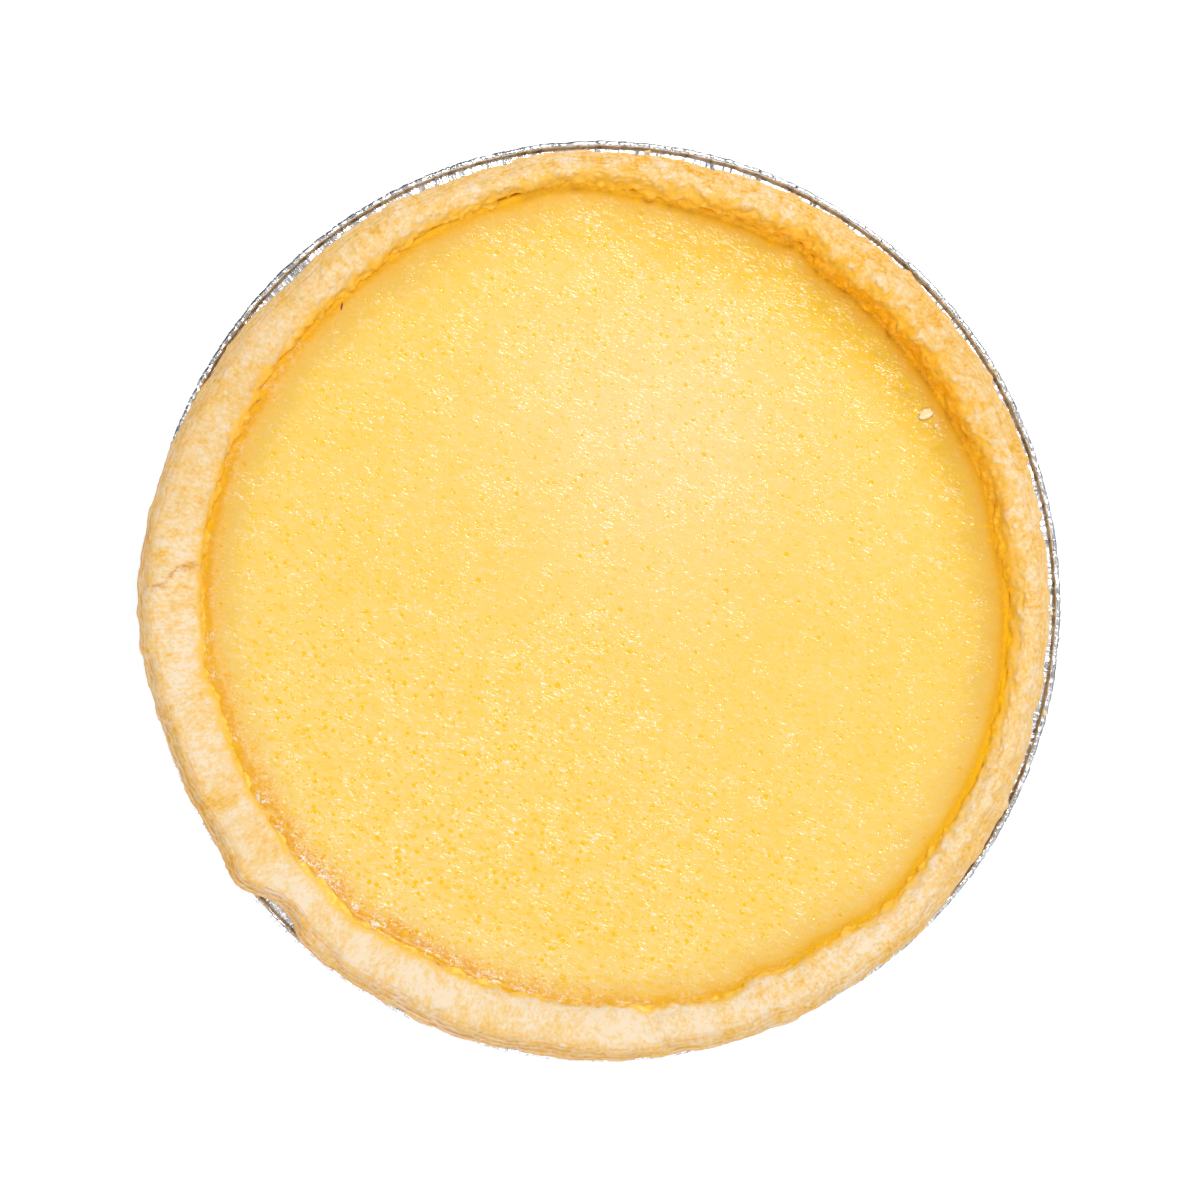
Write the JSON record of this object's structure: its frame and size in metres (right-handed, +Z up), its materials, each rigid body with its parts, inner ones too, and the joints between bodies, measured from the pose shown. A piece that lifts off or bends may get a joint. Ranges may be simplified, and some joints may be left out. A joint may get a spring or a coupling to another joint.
{
  "type": "chess pie",
  "caption": "Whole open-face custard pie in its own foil pan: pleated foil with a rolled rim, a thick uneven pastry rim and a set yellow filling a little below it.",
  "frame": {"origin": "middle of the foil pan's flat underside", "axes": "+Z up, out of the open face of the pie; +X to the right and +Y to the top of the view from above"},
  "size_m": [0.2231, 0.2228, 0.0371],
  "materials": {
    "foil": "bright wrinkled foil",
    "crust": null,
    "custard": null
  },
  "bodies": {
    "root": {"foil_pan": "foil", "crust": "crust", "filling": "custard"}
  },
  "joints": []
}
